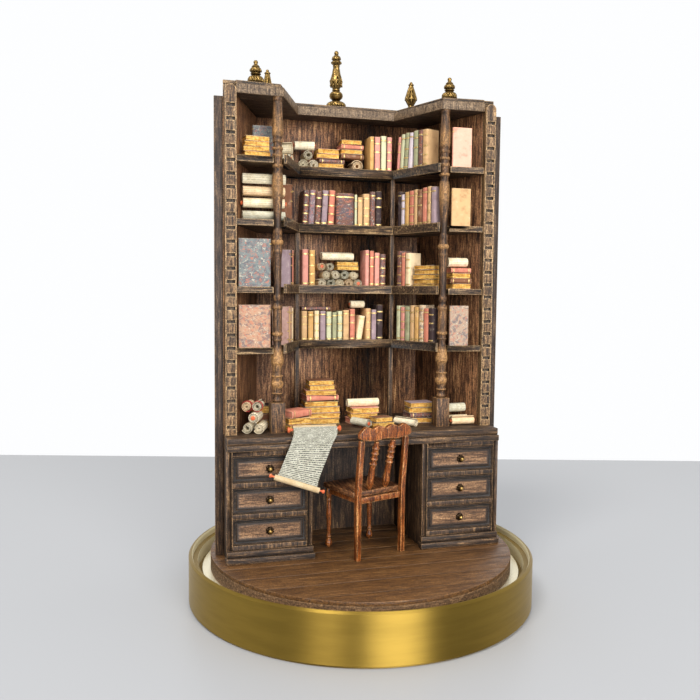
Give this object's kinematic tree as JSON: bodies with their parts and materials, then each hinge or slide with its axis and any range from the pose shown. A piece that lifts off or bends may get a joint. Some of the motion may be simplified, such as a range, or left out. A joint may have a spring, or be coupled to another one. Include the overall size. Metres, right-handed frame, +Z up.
{
  "type": "miniature bookcase",
  "caption": "Miniature library bookcase with splayed wings, desk with working drawers, chair, books and scrolls, on a round brass display base.",
  "frame": {"origin": "centre of the brass base's underside", "axes": "+Z up, front towards -Y, +X to the right seen from the front"},
  "size_m": [0.105, 0.105, 0.1716],
  "materials": {
    "brushed_brass": "fine brushed",
    "polished_brass": "polished, pale",
    "floor_wood": "stained, worn at the edge",
    "case_wood": "dark stained",
    "lining_wood": "dark stained, upright grain",
    "shelf_wood": "dark stained, dry brushed edges",
    "worn_wood": "dry brushed",
    "turned_wood": "turned, satin",
    "drawer_wood": "pale field, black glazed bevels",
    "chair_wood": "orange-brown, waxed",
    "antique_gold": "antique gold with dark recesses",
    "knob_metal": "blackened, bright centre",
    "book_covers": "matt paper and cloth",
    "page_edges": "matt, aged paper",
    "scroll_paper": "matt, aged paper",
    "rod_paint": "orange-red painted wood",
    "ribbon": "satin ribbon"
  },
  "bodies": {
    "base": {"brass_tray": "brushed_brass", "tray_floor_plate": "polished_brass"},
    "bookcase": {"floor_disc": "floor_wood", "floor_boards": "floor_wood", "side_board_left": "case_wood", "side_board_right": "case_wood", "side_linings": "lining_wood", "back_panel": "lining_wood", "dentil_post_left": "worn_wood", "dentil_post_right": "worn_wood", "column_left": "turned_wood", "column_right": "turned_wood", "corner_uprights": "case_wood", "shelf_1": "shelf_wood", "shelf_2": "shelf_wood", "shelf_3": "shelf_wood", "shelf_4": "shelf_wood", "cornice_board": "shelf_wood", "cornice_cap": "case_wood", "finial_centre": "antique_gold", "finials_front": "antique_gold", "finials_rear": "antique_gold", "desk_top": "shelf_wood", "desk_moulding": "worn_wood", "face_frames": "worn_wood", "cabinet_plinths": "worn_wood", "cabinet_left": "case_wood", "cabinet_right": "case_wood", "kneehole_back": "lining_wood", "standing_books_upper": "book_covers", "standing_books_lower": "book_covers", "cover_books": "book_covers", "lying_books": "book_covers", "scrolls": "scroll_paper", "hanging_scroll": "scroll_paper"},
    "drawer_left_top": {"drawer_front_left_top": "drawer_wood", "drawer_box_left_top": "case_wood", "drawer_knob_left_top": "knob_metal"},
    "drawer_left_middle": {"drawer_front_left_middle": "drawer_wood", "drawer_box_left_middle": "case_wood", "drawer_knob_left_middle": "knob_metal"},
    "drawer_left_bottom": {"drawer_front_left_bottom": "drawer_wood", "drawer_box_left_bottom": "case_wood", "drawer_knob_left_bottom": "knob_metal"},
    "drawer_right_top": {"drawer_front_right_top": "drawer_wood", "drawer_box_right_top": "case_wood", "drawer_knob_right_top": "knob_metal"},
    "drawer_right_middle": {"drawer_front_right_middle": "drawer_wood", "drawer_box_right_middle": "case_wood", "drawer_knob_right_middle": "knob_metal"},
    "drawer_right_bottom": {"drawer_front_right_bottom": "drawer_wood", "drawer_box_right_bottom": "case_wood", "drawer_knob_right_bottom": "knob_metal"},
    "chair": {"chair_seat": "chair_wood", "chair_back_legs": "chair_wood", "chair_front_legs": "chair_wood", "chair_seat_rails": "chair_wood", "chair_crest_rail": "chair_wood", "chair_spindles": "chair_wood"}
  },
  "joints": [
    {"name": "bookcase_lift", "type": "slide", "parent": "base", "child": "bookcase", "axis": [0, 0, 1], "range_m": [0, 0.02]},
    {"name": "drawer_left_top_slide", "type": "slide", "parent": "bookcase", "child": "drawer_left_top", "axis": [0, -1, 0], "range_m": [0, 0.0025]},
    {"name": "drawer_left_middle_slide", "type": "slide", "parent": "bookcase", "child": "drawer_left_middle", "axis": [0, -1, 0], "range_m": [0, 0.01]},
    {"name": "drawer_left_bottom_slide", "type": "slide", "parent": "bookcase", "child": "drawer_left_bottom", "axis": [0, -1, 0], "range_m": [0, 0.01]},
    {"name": "drawer_right_top_slide", "type": "slide", "parent": "bookcase", "child": "drawer_right_top", "axis": [0, -1, 0], "range_m": [0, 0.01]},
    {"name": "drawer_right_middle_slide", "type": "slide", "parent": "bookcase", "child": "drawer_right_middle", "axis": [0, -1, 0], "range_m": [0, 0.01]},
    {"name": "drawer_right_bottom_slide", "type": "slide", "parent": "bookcase", "child": "drawer_right_bottom", "axis": [0, -1, 0], "range_m": [0, 0.01]},
    {"name": "chair_slide", "type": "slide", "parent": "bookcase", "child": "chair", "axis": [0.342, -0.9397, 0], "range_m": [0, 0.012]}
  ]
}
